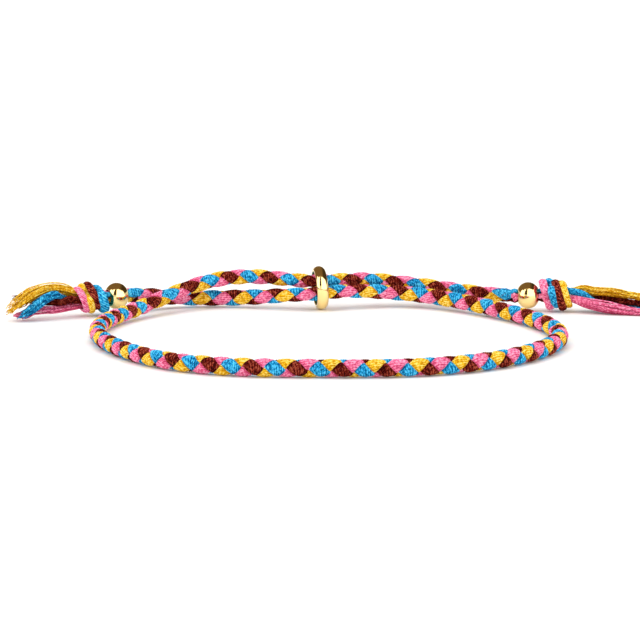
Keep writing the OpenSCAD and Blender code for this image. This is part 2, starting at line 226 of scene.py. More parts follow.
@dataclass(frozen=True)
class Lay:
    """Sizes of the cord and how it lies, the same as in the part's source."""

    cord_d: float = 2.6
    braid_turn: float = 6.1
    pattern_turn: float = 24.0
    ring_d: float = 6.6
    ring_hole: float = 5.1
    ring_w: float = 1.7
    ring_lean: float = 4.0
    ring_yaw: float = 9.0
    bead_d: float = 4.0
    bead_l: float = 3.4
    bead_hole: float = 2.0
    knot_d: float = 5.2
    knot_l: float = 3.8
    knot_slant: float = 0.55
    bundle_d: float = 0.74
    tassel_left_l: float = 11.5
    tassel_right_l: float = 14.0
    tassel_spread: float = 5.0
    lock_d: float = 2.0
    squeeze: float = 0.83
    pair_angle: float = 37.0
    ring_y: float = 10.0
    middle: tuple[float, float] = (2.38, -17.1)
    left_way: tuple[float, float] = (-0.9, -0.44)
    right_way: tuple[float, float] = (0.99, -0.14)
    left_knot: tuple[float, float] = (-34.5, 3.9)
    right_knot: tuple[float, float] = (35.7, 8.2)
    left_bead: tuple[float, float] = (-30.5, 5.0)
    right_bead: tuple[float, float] = (31.5, 8.0)

    @property
    def cord_r(self) -> float:
        """Radius of the cord."""
        return self.cord_d / 2

    @property
    def ring_z(self) -> float:
        """Height of the ring's middle."""
        lean = math.radians(self.ring_lean)
        return self.ring_d / 2 * math.cos(lean) + self.ring_w / 4 * math.sin(lean) + 0.02

    def route(self) -> np.ndarray:
        """The chosen points of the cord's axis, from the left tassel's tips to the right's."""
        half = (self.ring_hole / 2 - self.cord_r * self.squeeze) * 0.94
        lean = math.radians(self.pair_angle)
        low_y, low_z = self.ring_y - half * math.cos(lean), self.ring_z - half * math.sin(lean)
        high_y, high_z = self.ring_y + half * math.cos(lean), self.ring_z + half * math.sin(lean)
        knot_z = self.knot_d / 2 + 0.05
        bead_z = max(self.bead_d / 2 + 0.3, knot_z - 0.25)
        floor_z = self.cord_r + 0.02
        tip_z = self.lock_d / 2 + 0.4

        def end(knot: tuple[float, float], way: tuple[float, float], reach: float,
                height: float) -> tuple[float, float, float]:
            """A point of a tassel's axis."""
            return (knot[0] + way[0] * reach, knot[1] + way[1] * reach, height)

        left = [end(self.left_knot, self.left_way, self.knot_l / 2 + reach, height)
                for reach, height in ((self.tassel_left_l, tip_z),
                                      (self.tassel_left_l * 0.6, tip_z + 0.4), (1.5, knot_z - 0.3))]
        right = [end(self.right_knot, self.right_way, self.knot_l / 2 + reach, height)
                 for reach, height in ((1.5, knot_z - 0.1), (self.tassel_right_l * 0.6, tip_z + 0.4),
                                       (self.tassel_right_l, tip_z))]
        loop = [
            (-26.8, 8.7, floor_z + 1.2), (-22.5, 11.7, floor_z + 0.25), (-17.5, 12.7, floor_z),
            (-12.5, 12.1, floor_z + 0.15), (-7.5, 10.6, (floor_z + low_z) / 2), (-3, low_y, low_z),
            (0, low_y, low_z), (3, low_y + 0.8, low_z + 0.44), (7.5, 11.5, floor_z + 1.28),
            (12.5, 12.5, floor_z + 0.83), (17.5, 10.8, floor_z + 0.53), (23, 5.9, floor_z + 0.23),
            (28, -0.8, floor_z + 0.03), (32.1, -8.2, floor_z), (34.5, -16.9, floor_z),
            (34.2, -26, floor_z), (30.6, -34.8, floor_z), (24.5, -42.4, floor_z),
            (16.5, -47.3, floor_z), (8.5, -49, floor_z), (0, -48.7, floor_z), (-8, -48.7, floor_z),
            (-15.5, -46.6, floor_z), (-22.2, -42.2, floor_z), (-27.5, -34.1, floor_z),
            (-31.2, -25.3, floor_z), (-32.45, -16.7, floor_z), (-31.4, -8.1, floor_z),
            (-28.2, -0.8, floor_z + 0.05), (-24.2, 5.3, floor_z + 0.9), (-19.6, 9.8, floor_z + 2.3),
            (-14.5, 12.1, floor_z + 3.35), (-9, 12.3, high_z + 0.65), (-3, high_y + 0.1, high_z),
            (0, high_y, high_z), (3, high_y + 0.6, high_z + 0.05), (7, 13.7, high_z),
            (12, 15.1, floor_z + 2.05), (17, 13.9, floor_z + 1.6), (22, 11.8, floor_z + 1.2),
            (26.8, 9, (bead_z + floor_z + 1) / 2)]
        return np.array([*left, (*self.left_knot, knot_z + 0.1), (*self.left_bead, bead_z + 0.45),
                         *loop,
                         (*self.right_bead, bead_z), (*self.right_knot, knot_z + 0.1), *right])

    def rolls(self) -> np.ndarray:
        """Place in the route, roll, share of the thickness and share of a turn's length."""
        thin = self.squeeze
        return np.array([
            (4, -78, 0.88, 1.108), (6.5, -81, 0.93, 1.08), (8, -84, 0.98, 1.093),
            (10, -82, thin, 1.009), (12, -80, thin, 1.086), (14, -68, 0.94, 1.088), (16, -58, 1, 1.133),
            (17.2, -66, 1, 1.132), (18.4, -76, 1, 1.32), (20.2, -54, 1, 1.004), (23, -46, 1, 0.967),
            (24.5, -30, 1, 1.0), (25.5, -1, 1, 0.966), (27, 23, 1, 0.999), (28.5, 72, 0.98, 0.904),
            (29.5, 108, 0.96, 0.995), (31.5, 130, 0.93, 0.87), (33.5, 157, 0.91, 1.34),
            (34.5, 137, 0.91, 1.28), (35.5, 146, 0.92, 1.02), (37, 170, 0.9, 1.033),
            (38, 172, thin, 1.005), (40, 174, thin, 1.154), (43, 172, 0.92, 1.119),
            (44.4, 154, 0.88, 1.25), (44.95, 148, 0.88, 1.45), (46, 142, 0.88, 1.45)])


# Each colour's band in a knot: its place from the bead, its size as a share of the knot's
# thickness, the share of its thickness lost on one side, and the angle where it stays full
BANDS = {"left": ((0, 0.98, 0.6, 222), (1, 1, 0.4, 95), (2, 0.95, 0.25, 165), (3, 0.86, 0.3, 250)),
         "right": ((1, 1, 0.4, 110), (2, 1, 0.3, 255), (3, 0.86, 0.3, 190), (0, 0.94, 0.1, 180))}
# Edges of the four bands, as shares of the knot's length from the bead
EDGES = {"left": (0, 0.32, 0.57, 0.78, 1), "right": (0, 0.26, 0.5, 0.76, 1)}
# Sections of each colour's lock from the knot to its tip: share of the tassel's length, places
# aside and up as shares of tassel_spread, half-width and half-thickness as shares of lock_d
LOCKS: dict[str, tuple[Rows, ...]] = {
    "left": (
        [(0.05, 0.165, -0.02, 0.25, 0.25), (0.15, 0.11, 0.1, 0.2, 0.2), (0.25, -0.07, 0.21, 0.2, 0.18),
         (0.36, -0.2, 0.33, 0.26, 0.3), (0.5, -0.2, 0.24, 0.34, 0.34), (0.7, -0.2, 0, 0.36, 0.32),
         (0.9, -0.22, -0.17, 0.28, 0.14)],
        [(0.05, -0.165, 0.02, 0.25, 0.25), (0.15, -0.17, 0.09, 0.3, 0.3), (0.25, -0.14, 0.04, 0.29, 0.24),
         (0.35, 0.04, 0.07, 0.3, 0.28), (0.5, 0.23, 0.14, 0.32, 0.32), (0.66, 0.46, 0.24, 0.3, 0.27),
         (0.82, 0.56, 0.28, 0.18, 0.16)],
        [(0.05, 0.01, 0.24, 0.28, 0.3), (0.15, 0.06, 0.36, 0.4, 0.4), (0.35, 0.14, 0.46, 0.48, 0.44),
         (0.6, 0.12, 0.4, 0.6, 0.46), (0.8, 0.06, 0.21, 0.56, 0.4), (1, 0, 0, 0.34, 0.2)],
        [(0.05, -0.01, -0.17, 0.25, 0.25), (0.2, 0, -0.16, 0.34, 0.28),
         (0.36, -0.04, -0.15, 0.34, 0.28), (0.6, 0.07, -0.1, 0.34, 0.26),
         (0.78, 0.06, -0.16, 0.32, 0.22), (0.92, 0.05, -0.18, 0.2, 0.12)]),
    "right": (
        [(0.05, -0.11, 0.12, 0.25, 0.25), (0.15, -0.06, 0.07, 0.25, 0.25),
         (0.28, 0.02, -0.13, 0.22, 0.22), (0.45, 0.08, -0.28, 0.28, 0.24),
         (0.75, 0.06, -0.24, 0.3, 0.2), (0.97, 0.05, -0.22, 0.18, 0.12)],
        [(0.05, 0.1, -0.14, 0.25, 0.25), (0.18, 0.27, -0.1, 0.3, 0.28),
         (0.42, 0.22, -0.07, 0.34, 0.26), (0.7, 0.15, -0.08, 0.32, 0.24), (1, 0.16, -0.06, 0.2, 0.16)],
        [(0.05, 0.14, 0.1, 0.25, 0.25), (0.15, 0.16, 0.18, 0.34, 0.32), (0.26, 0.13, 0.16, 0.42, 0.34),
         (0.45, 0.14, 0.19, 0.48, 0.33), (0.7, 0.14, 0.16, 0.42, 0.26), (0.95, 0.2, 0.1, 0.24, 0.2)],
        [(0.05, -0.15, -0.1, 0.26, 0.26), (0.2, -0.26, -0.16, 0.4, 0.36),
         (0.42, -0.32, -0.2, 0.58, 0.42), (0.68, -0.38, -0.24, 0.5, 0.28), (1, -0.42, -0.2, 0.34, 0.18)])}
# Turns of a band's sections round the knot, in degrees; the first and last climb from the core
BAND_TURNS = (22, 42, 90, 135, 180, 225, 270, 318, 338)
# Half-width, half-thickness and share of the yarns' thickness of a bundle in a knot's core
CORE_SECTION = (0.36, 0.36, 0.8)
# Angle at which the yellow bundle leaves each knot, in degrees
YELLOW_EXIT = {"left": 90.0, "right": 35.0}


def unit(v: np.ndarray) -> np.ndarray:
    """Vector or rows of vectors made one long."""
    return v / np.linalg.norm(v, axis=-1, keepdims=True)


def wrap(angle: float) -> float:
    """Angle brought between -180 and 180 degrees."""
    return angle - 360 * math.floor((angle + 180) / 360)


class Cord:
    """The cord's axis and the turn of its pattern, as functions of the length along it."""

    SPAN_STEPS = 12
    CLEAR_OF_BEAD = 0.8
    FIRST_TURN = 135
    SIGHT = 0.6

    def __init__(self, lay: Lay) -> None:
        """Works the curve out from the lay."""
        self.lay = lay
        route = lay.route()
        control = np.vstack([2 * route[0] - route[1], route, 2 * route[-1] - route[-2]])
        t = (np.arange(self.SPAN_STEPS) / self.SPAN_STEPS)[:, None]
        spans = [((1 - t) ** 3 * control[i] + (3 * t ** 3 - 6 * t ** 2 + 4) * control[i + 1]
                  + (-3 * t ** 3 + 3 * t ** 2 + 3 * t + 1) * control[i + 2] + t ** 3 * control[i + 3]) / 6
                 for i in range(len(route) - 1)]
        self.curve = np.vstack([*spans, route[-1]]) - np.array([*lay.middle, 0])
        pieces = np.linalg.norm(np.diff(self.curve, axis=0), axis=1)
        self.lengths = np.concatenate([[0], np.cumsum(pieces)])
        rows = lay.rolls()
        self.roll_s = self.station(rows[:, 0])
        self.roll_rows = rows
        self.bead = {"left": float(self.station(4)), "right": float(self.station(46))}
        self.knot = {"left": float(self.station(3)), "right": float(self.station(47))}
        turns = lay.pattern_turn + 360 * np.concatenate(
            [[0], np.cumsum(np.diff(self.roll_s) / (lay.braid_turn * rows[:-1, 3]))])
        lead = lay.bead_l / 2 + self.CLEAR_OF_BEAD
        self.start_s = self.bead["left"] + lead
        self.end_s = self.bead["right"] - lead
        start = float(np.interp(self.start_s, self.roll_s, turns))
        self.start_turn = self.FIRST_TURN + 180 * round((start - self.FIRST_TURN) / 180)
        end = float(np.interp(self.end_s, self.roll_s, turns))
        self.steps = 2 + 4 * round((end - self.start_turn - 90) / 180)
        self.end_turn = self.start_turn + 45 * self.steps
        self.turn_keys = np.array([self.start_turn, *turns[1:-1], self.end_turn])
        self.turn_s = np.array([self.start_s, *self.roll_s[1:-1], self.end_s])

    def station(self, place: Any) -> Any:
        """Length along the cord of a place in the route."""
        return np.interp(np.asarray(place) * self.SPAN_STEPS, np.arange(len(self.lengths)), self.lengths)

    def at(self, s: Any) -> np.ndarray:
        """Point of the axis."""
        return np.stack([np.interp(s, self.lengths, self.curve[:, c]) for c in range(3)], axis=-1)

    def frame(self, s: Any) -> tuple[np.ndarray, np.ndarray, np.ndarray]:
        """Directions along the cord, out of the loop and up, at one or more stations."""
        s = np.asarray(s, float)
        ahead, behind = np.minimum(s + self.SIGHT, self.lengths[-1]), np.maximum(s - self.SIGHT, 0)
        along = unit(self.at(ahead) - self.at(behind))
        out = unit(np.cross(np.array([0, 0, 1.0]), along))
        return along, out, np.cross(along, out)

    def roll(self, s: Any) -> Any:
        """Roll of the blue and maroon row, in degrees."""
        return np.interp(s, self.roll_s, self.roll_rows[:, 1])

    def share(self, s: Any) -> Any:
        """Share of the cord's full thickness."""
        return np.interp(s, self.roll_s, self.roll_rows[:, 2])


@dataclass
class Guide:
    """Centre line of a bundle, with its half-width, half-thickness and bend as vectors."""

    points: np.ndarray
    across: np.ndarray
    rise: np.ndarray
    bow: np.ndarray
    thick: np.ndarray
    flat: np.ndarray

    @property
    def parts(self) -> list[np.ndarray]:
        """Its tables, in order."""
        return [self.points, self.across, self.rise, self.bow, self.thick, self.flat]


@dataclass
class FlossStrand:
    """One floss bundle from tassel tip to tassel tip, made of separate plied yarns.

    The radii, swing, layer and edge fall are in millimetres. The bundle crosses over and under the
    others by a wave that cross_sharp and cross_shift shape. Its yarns are thinner below by twice
    thin_share, and core_swell says how far it swells in a knot's core.
    """

    cord: Cord
    colour: Colour
    yarns: int = 13
    top_yarns: int = 10
    yarn_r: float = 0.145
    samples_a_turn: int = 24
    tassel_threads: int = 52
    thread_r: float = 0.1
    mid_r: float = 0.88
    swing: float = 0.27
    layer: float = 0.12
    fill: float = 0.93
    edge_fall: float = 0.15
    cross_sharp: float = 2.6
    cross_shift: float = 0.12
    thin_share: float = 0.12
    core_swell: float = 1.3

    def braid_guide(self) -> Guide:
        """Smooth guide of the braided stretch, with cells that fill the cord's surface.

        A cell reaches 45 degrees of turn to each side of the strand's middle, where the next
        strand of the same hand begins, so the two edges of the strand are laid first.
        """
        cord, way = self.cord, self.colour.way
        count = int(self.cord.steps * self.samples_a_turn / 8)
        turn = cord.start_turn + np.arange(count + 1) * 360 / self.samples_a_turn
        wave = np.cos(np.radians(2 * turn)) * -way
        wave = np.tanh(self.cross_sharp * (wave - self.cross_shift)) / math.tanh(2.3)
        middle, left, right = (self.laid(turn, self.mid_r + self.swing * wave, side)
                               for side in (0.0, -self.fill, self.fill))
        centre = cord.at(np.interp(turn, cord.turn_keys, cord.turn_s))
        radial = unit(middle - centre)
        points = middle - radial * self.layer
        fall = self.edge_fall * (0.65 + 0.35 * np.cos(np.radians(4 * turn)))
        return Guide(points, (right - left) / 2, radial * self.layer, (right + left) / 2 - middle,
                     1 - self.thin_share + self.thin_share * wave, fall / self.layer)

    def laid(self, turn: np.ndarray, radius: np.ndarray, side: float) -> np.ndarray:
        """Points of one yarn of the braided stretch.

        Args:
            turn: Turns of the pattern along the strand's middle.
            radius: Distances from the cord's axis at full thickness.
            side: Place across the strand, from -1 to 1 at the cell's edges.

        Returns:
            The points on the bent cord.
        """
        cord = self.cord
        s = np.interp(turn + 45 * side, cord.turn_keys, cord.turn_s)
        angle = np.radians(cord.roll(s) + self.colour.first + self.colour.way * (turn - 45 * side))
        _, out, up = cord.frame(s)
        radial = np.cos(angle)[:, None] * out + np.sin(angle)[:, None] * up
        return cord.at(s) + (radius * cord.share(s))[:, None] * radial

    def end_keys(self, side: str) -> tuple[np.ndarray, np.ndarray, np.ndarray, np.ndarray]:
        """Key sections of one end from the bead outwards: places, up directions and sizes."""
        cord, lay = self.cord, self.cord.lay
        sign = 1 if side == "right" else -1
        bead_s, knot_s = cord.bead[side], cord.knot[side]
        edge_s, edge_turn = (cord.end_s, cord.end_turn) if sign > 0 else (cord.start_s, cord.start_turn)
        angle = float(cord.roll(edge_s)) + self.colour.way * edge_turn + self.colour.first
        yellow = float(cord.roll(edge_s)) + edge_turn + 180
        twist = wrap(YELLOW_EXIT[side] - yellow)
        band, size, sink, full_at = BANDS[side][self.colour.place]
        edges = EDGES[side]
        near = knot_s - sign * lay.knot_l / 2
        wide = (edges[band + 1] - edges[band]) * lay.knot_l
        bundle_r = lay.bundle_d / math.sqrt(2) * 1.04
        core_d = lay.bundle_d * self.core_swell
        core_r = core_d / math.sqrt(2) * 1.14
        keys: list[tuple[np.ndarray, np.ndarray, float, float, float]] = []

        def key(s: float, line: float, turn: float, radius: float, half_w: float, half_h: float,
                thick: float) -> None:
            """Adds a section beside the straight line through the axis at one station.

            Args:
                s: Length along the cord.
                line: Station where the straight line touches the axis.
                turn: Angle round the line, in degrees.
                radius: Distance from the line.
                half_w: Half-width of the section.
                half_h: Half-thickness of the section.
                thick: Share of the yarns' full thickness.
            """
            along, out, up = cord.frame(line)
            radial = math.cos(math.radians(turn)) * out + math.sin(math.radians(turn)) * up
            place = cord.at(line) + (s - line) * along + radius * radial
            keys.append((place, radial, half_w, half_h, thick))

        key(bead_s - sign * (lay.bead_l / 2 + 0.4), bead_s, angle, 0.68, 0.62, 0.3, 0.85)
        key(bead_s - sign * lay.bead_l / 2, bead_s, angle, bundle_r, 0.4, 0.36, 0.7)
        for x in (0.0, 0.5):
            key(bead_s + sign * x * lay.bead_l, bead_s, angle, bundle_r, 0.28, 0.28, 0.62)
        for j in range(band + 1):
            reach = 0.1 if j == 0 else edges[j] * lay.knot_l
            key(near + sign * reach, knot_s, angle + twist * edges[j], core_r, *CORE_SECTION)
        centre = (edges[band] + edges[band + 1]) / 2
        outer = size * lay.knot_d / 2
        room = outer - (core_r + core_d / 2) / math.cos(math.radians(24)) - 0.1
        for turn in BAND_TURNS:
            rise = turn in (BAND_TURNS[0], BAND_TURNS[-1])
            here = angle + twist * centre + sign * turn
            low = 0.0 if rise else sink * (1 - math.cos(math.radians(here - full_at))) / 2
            high = 0.4 * room * (1 - low)
            radius = outer - room * low - high - self.yarn_r
            lean = lay.knot_slant * (0.3 if rise else 1.0)
            key(near + sign * centre * lay.knot_l - lean * math.sin(math.radians(here)), knot_s, here,
                (core_r + radius) / 2 if rise else radius, 0.4 if rise else wide / 2 - 0.02,
                0.36 if rise else high, 0.85 if rise else 1.0)
        for j in range(band + 1, 5):
            key(near + sign * edges[j] * lay.knot_l, knot_s, angle + sign * 360 + twist * edges[j],
                core_r, *CORE_SECTION)
        places, radials, widths, heights, thicks = (np.array(v) for v in zip(*keys))
        return places, radials, np.stack([widths, heights], axis=1), thicks

    def lock_keys(self, side: str) -> tuple[np.ndarray, np.ndarray, np.ndarray, np.ndarray]:
        """Key sections of one tassel lock, from inside the knot to its tip."""
        cord, lay = self.cord, self.cord.lay
        sign = 1 if side == "right" else -1
        length = lay.tassel_right_l if sign > 0 else lay.tassel_left_l
        far = cord.knot[side] + sign * lay.knot_l / 2
        rows = LOCKS[side][self.colour.place]
        rows = [(-0.12, *rows[0][1:3], 0.2, 0.2), *rows]
        places, ups, sizes = [], [], []
        for row in rows:
            s = far + sign * row[0] * length
            _, out, up = cord.frame(s)
            places.append(cord.at(s) + lay.tassel_spread * (row[1] * out + row[2] * up))
            ups.append(up)
            sizes.append((max(row[3] * lay.lock_d - self.thread_r, 0.1),
                          max(row[4] * lay.lock_d - self.thread_r, 0.08)))
        fan = np.clip([row[0] for row in rows], 0, 1)
        return np.array(places), np.array(ups), np.array(sizes), np.array(fan)

    @staticmethod
    def smooth(places: np.ndarray, ups: np.ndarray, sizes: np.ndarray, extra: np.ndarray,
               step: float) -> Guide:
        """Runs a smooth guide through key sections.

        Args:
            places: Points of the keys.
            ups: Directions of the half-thickness at the keys.
            sizes: Half-width and half-thickness at the keys.
            extra: One more number for each key.
            step: Distance between the guide's points.

        Returns:
            The guide, with the extra number as its thickness.
        """
        keys = np.hstack([places, ups, sizes, extra[:, None]])
        pieces = np.maximum(np.linalg.norm(np.diff(places, axis=0), axis=1), 0.05)
        chord = np.concatenate([[0], np.cumsum(pieces)])
        slope = np.gradient(keys, chord, axis=0)
        u = np.linspace(0, chord[-1], max(int(chord[-1] / step), 4) + 1)
        i = np.clip(np.searchsorted(chord, u, side="right") - 1, 0, len(chord) - 2)
        span = (chord[i + 1] - chord[i])[:, None]
        t = ((u - chord[i])[:, None]) / span
        rows = ((2 * t ** 3 - 3 * t ** 2 + 1) * keys[i] + (t ** 3 - 2 * t ** 2 + t) * span * slope[i]
                + (-2 * t ** 3 + 3 * t ** 2) * keys[i + 1] + (t ** 3 - t ** 2) * span * slope[i + 1])
        points, rise = rows[:, :3], unit(rows[:, 3:6])
        along = unit(np.gradient(points, axis=0))
        across = unit(np.cross(along, rise))
        rise = unit(np.cross(across, along))
        size = np.maximum(rows[:, 6:8], 0.05)
        return Guide(points, across * size[:, :1], rise * size[:, 1:], np.zeros_like(points),
                     np.clip(rows[:, 8], 0, 1.2), np.zeros(len(points)))

    def bundle_guide(self) -> Guide:
        """Guide of the whole bundle from knot to knot, through both beads and the braid."""
        braid = self.braid_guide()
        left = self.smooth(*self.end_keys("left"), step=0.3)
        right = self.smooth(*self.end_keys("right"), step=0.3)

        def flipped(guide: Guide) -> Guide:
            """The guide run the other way."""
            tables = [table[::-1] for table in guide.parts]
            tables[1] = -tables[1]
            return Guide(*tables)

        return Guide(*(np.concatenate(tables)
                       for tables in zip(flipped(left).parts, braid.parts, right.parts)))

    def guides(self) -> bpy.types.Object:
        """Builds the object that holds the bundle's guide and the two locks' guides."""
        lines = [(self.bundle_guide(), 0.0)]
        lines += [(self.smooth(*self.lock_keys(side), step=0.45), 1.0) for side in ("left", "right")]
        points = np.vstack([line.points for line, _ in lines]) * MM
        edges, first = [], 0
        for line, _ in lines:
            edges += [(first + k, first + k + 1) for k in range(len(line.points) - 1)]
            first += len(line.points)
        mesh = bpy.data.meshes.new(f"floss_{self.colour.label}")
        mesh.from_pydata(points.tolist(), edges, [])
        for name in ("across", "rise", "bow"):
            values = np.vstack([getattr(line, name) for line, _ in lines]) * MM
            mesh.attributes.new(name, "FLOAT_VECTOR", "POINT").data.foreach_set("vector", values.ravel())
        for name in ("thick", "flat"):
            values = np.concatenate([getattr(line, name) for line, _ in lines])
            mesh.attributes.new(name, "FLOAT", "POINT").data.foreach_set("value", values)
        loose = np.concatenate([np.full(len(line.points), kind) for line, kind in lines])
        mesh.attributes.new("loose", "FLOAT", "POINT").data.foreach_set("value", loose)
        return linked(mesh.name, mesh)

    def build(self, tree: "YarnTree", material: bpy.types.Material) -> bpy.types.Object:
        """Builds the strand and puts it in the frame."""
        piece = self.guides()
        tree.apply(piece, {"Yarns": self.yarns, "Top Yarns": self.top_yarns, "Yarn Radius": self.yarn_r * MM,
                           "Threads": self.tassel_threads, "Thread Radius": self.thread_r * MM,
                           "Seed": 11 + self.colour.place, "Material": material})
        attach(piece, "root")
        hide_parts(f"strand_{self.colour.label}")
        LOG.info("floss_%s: %d faces", self.colour.label, len(piece.data.polygons))
        return piece


class YarnTree:
    """Geometry nodes that lay plied yarns side by side along a bundle's guide.

    Lengths in the tree are in metres. The wanders give how far a yarn strays from its place, and
    the shifts how far each yarn's plies are moved along it from its neighbour's.
    """

    INPUTS = (("Yarns", "NodeSocketInt"), ("Top Yarns", "NodeSocketInt"),
              ("Yarn Radius", "NodeSocketFloat"), ("Threads", "NodeSocketInt"),
              ("Thread Radius", "NodeSocketFloat"), ("Seed", "NodeSocketInt"),
              ("Material", "NodeSocketMaterial"))
    YARN_WANDER = 0.00007
    THREAD_WANDER = 0.0018
    THREAD_CURL = 0.0004
    YARN_SHIFT = 0.00013
    THREAD_SHIFT = 0.00017
    EDGE_CROWDING = 0.13
    LOCK_SPREAD = 1.12
    TIP_SPREAD = 0.26
    TIP_TAPER = 0.35
    YARN_SIDES = 5
    THREAD_SIDES = 4

    def __init__(self) -> None:
        """Builds the tree."""
        self.group = bpy.data.node_groups.new("plied_yarns", "GeometryNodeTree")
        self.group.interface.new_socket("Geometry", in_out="INPUT", socket_type="NodeSocketGeometry")
        for name, kind in self.INPUTS:
            self.group.interface.new_socket(name, in_out="INPUT", socket_type=kind)
        self.group.interface.new_socket("Geometry", in_out="OUTPUT", socket_type="NodeSocketGeometry")
        self.net = Net(self.group)
        self.inputs = self.net.add("NodeGroupInput")
        self.build()

    def named(self, name: str, kind: str = "FLOAT") -> Value:
        """Reads a named attribute."""
        return self.net.value("GeometryNodeInputNamedAttribute", {"data_type": kind}, {"Name": name})

    def store(self, geometry: Any, name: str, value: Value, kind: str = "FLOAT",
              domain: str = "POINT") -> Any:
        """Stores a named attribute and gives the geometry on."""
        return self.net.add("GeometryNodeStoreNamedAttribute", {"data_type": kind, "domain": domain},
                            {"Geometry": geometry, "Name": name, "Value": value}).outputs[0]

    def scaled(self, vector: Value, factor: Value | float) -> Value:
        """Vector times a number."""
        return self.net.value("ShaderNodeVectorMath", {"operation": "SCALE"}, {0: vector, "Scale": factor})

    def summed(self, first: Value, second: Value) -> Value:
        """Sum of two vectors."""
        return self.net.value("ShaderNodeVectorMath", {"operation": "ADD"}, {0: first, 1: second})

    def random(self, low: float, high: float, offset: int) -> Value:
        """Number drawn for each yarn of a bundle or lock, from the fixed seed."""
        seed = Value(self.net, self.inputs.outputs["Seed"]) * 31.0 + float(offset)
        return self.net.value("FunctionNodeRandomValue", {"data_type": "FLOAT"},
                              {2: low, 3: high, "ID": self.named("yarn"), "Seed": seed}, 1)

    def wave(self, reach: float, scale: float, offset: float) -> Value:
        """Slow wander of a yarn from its place, as a vector."""
        noise = self.net.add("ShaderNodeTexNoise", {"noise_dimensions": "4D"},
                             {"W": self.named("yarn") * 7.31 + offset, "Scale": scale, "Detail": 1.0})
        middle = self.net.value("ShaderNodeVectorMath", {"operation": "SUBTRACT"},
                                {0: noise.outputs["Color"], 1: (0.5, 0.5, 0.5)})
        return self.scaled(middle, reach)

    def copies(self, geometry: Any, amount: str) -> Any:
        """Copies each spline and numbers the copies."""
        node = self.net.add("GeometryNodeDuplicateElements", {"domain": "SPLINE"},
                            {"Geometry": geometry, "Amount": self.inputs.outputs[amount]})
        return self.store(node.outputs["Geometry"], "yarn", Value(self.net, node.outputs["Duplicate Index"]),
                          domain="CURVE")

    def tubes(self, geometry: Any, radius: Value, sides: int) -> Any:
        """Gives curves a round section that tapers by the radius."""
        sized = {"Curve": geometry, "Radius": radius}
        curve = self.net.add("GeometryNodeSetCurveRadius", {}, sized).outputs[0]
        ring = self.net.add("GeometryNodeCurvePrimitiveCircle", {"mode": "RADIUS"},
                            {"Resolution": sides, "Radius": 1.0}).outputs[0]
        ring = self.store(ring, "ring", self.net.value("GeometryNodeInputPosition"), "FLOAT_VECTOR")
        node = self.net.add("GeometryNodeCurveToMesh", {},
                            {"Curve": curve, "Profile Curve": ring, "Fill Caps": True})
        if "Scale" in node.inputs:
            self.net.tree.links.new(self.net.add("GeometryNodeInputRadius").outputs[0], node.inputs["Scale"])
        return node.outputs[0]

    def build(self) -> None:
        """Adds the nodes of both kinds of yarn."""
        net, source = self.net, self.inputs.outputs
        curves = net.add("GeometryNodeMeshToCurve", {}, {"Mesh": source["Geometry"]}).outputs[0]
        length = net.value("GeometryNodeSplineParameter", {}, {}, "Length")
        curves = self.store(curves, "along", length)
        loose = net.value("FunctionNodeCompare", {"data_type": "FLOAT", "operation": "GREATER_THAN"},
                          {0: self.named("loose"), 1: 0.5})
        split = net.add("GeometryNodeSeparateGeometry", {"domain": "CURVE"},
                        {"Geometry": curves, "Selection": loose})

        across, rise, bow = (self.named(name, "FLOAT_VECTOR") for name in ("across", "rise", "bow"))
        braid = self.copies(split.outputs["Inverted"], "Yarns")
        number = self.named("yarn")
        top_count, count = Value(net, source["Top Yarns"]), Value(net, source["Yarns"])
        top = number.math("LESS_THAN", top_count)
        x_top = number / (top_count - 1.0) * 2.0 - 1.0
        x_low = (number - top_count + 0.5) / (count - top_count) * 2.0 - 1.0
        fall = self.named("flat")
        x = x_low * (0.95 - 0.4 * fall.math("MINIMUM", 1.0))
        x_top = x_top + self.EDGE_CROWDING * x_top * (1.0 - x_top * x_top)
        x = x + top * (x_top - x)
        y = (top * 2.0 - 1.0) * (1.0 - 0.85 * (x * x)).math("SQRT") - fall * (x * x * x * x)
        place = self.summed(self.scaled(across, x), self.scaled(rise, y))
        place = self.summed(place, self.scaled(bow, x * x))
        place = self.summed(place, self.wave(self.YARN_WANDER, 900.0, 3.0))
        # Each yarn's height in the bundle, which the floss material turns into painted shade on low and edge
        # yarns
        braid = self.store(braid, "depth", y)
        braid = self.store(braid, "along", self.named("along") + number * self.YARN_SHIFT)
        braid = net.add("GeometryNodeSetPosition", {}, {"Geometry": braid, "Offset": place}).outputs[0]
        radius = Value(net, source["Yarn Radius"]) * self.named("thick") * self.random(0.92, 1.08, 5)
        braid = self.tubes(braid, radius, self.YARN_SIDES)

        locks = self.copies(split.outputs["Selection"], "Threads")
        turn = self.random(0.0, math.tau, 1)
        reach = self.random(0.0, 1.0, 2).math("SQRT")
        fan = self.named("thick")
        spread = self.LOCK_SPREAD + self.TIP_SPREAD * (fan * fan)
        place = self.summed(self.scaled(across, turn.math("COSINE") * reach * spread),
                            self.scaled(rise, turn.math("SINE") * reach * spread))
        wander = self.scaled(self.wave(self.THREAD_WANDER, 260.0, 9.0), fan * fan)
        curl = self.scaled(self.wave(self.THREAD_CURL, 1400.0, 4.0), fan)
        place = self.summed(self.summed(place, wander), curl)
        # Height of each thread in its lock, which the floss material turns into painted shade on the lower
        # threads
        locks = self.store(locks, "depth", turn.math("SINE") * reach * 0.6 + 0.12)
        locks = self.store(locks, "along", self.named("along") + number * self.THREAD_SHIFT)
        locks = net.add("GeometryNodeSetPosition", {}, {"Geometry": locks, "Offset": place}).outputs[0]
        end = self.random(0.8, 1.0, 7)
        trim = net.add("GeometryNodeTrimCurve", {"mode": "FACTOR"}, {"Curve": locks})
        trim.inputs[2].default_value = 0.0
        net.tree.links.new(end.socket, trim.inputs[3])
        taper = 1.0 - self.TIP_TAPER * fan
        radius = Value(net, source["Thread Radius"]) * taper * self.random(0.8, 1.15, 6)
        locks = self.tubes(trim.outputs[0], radius, self.THREAD_SIDES)

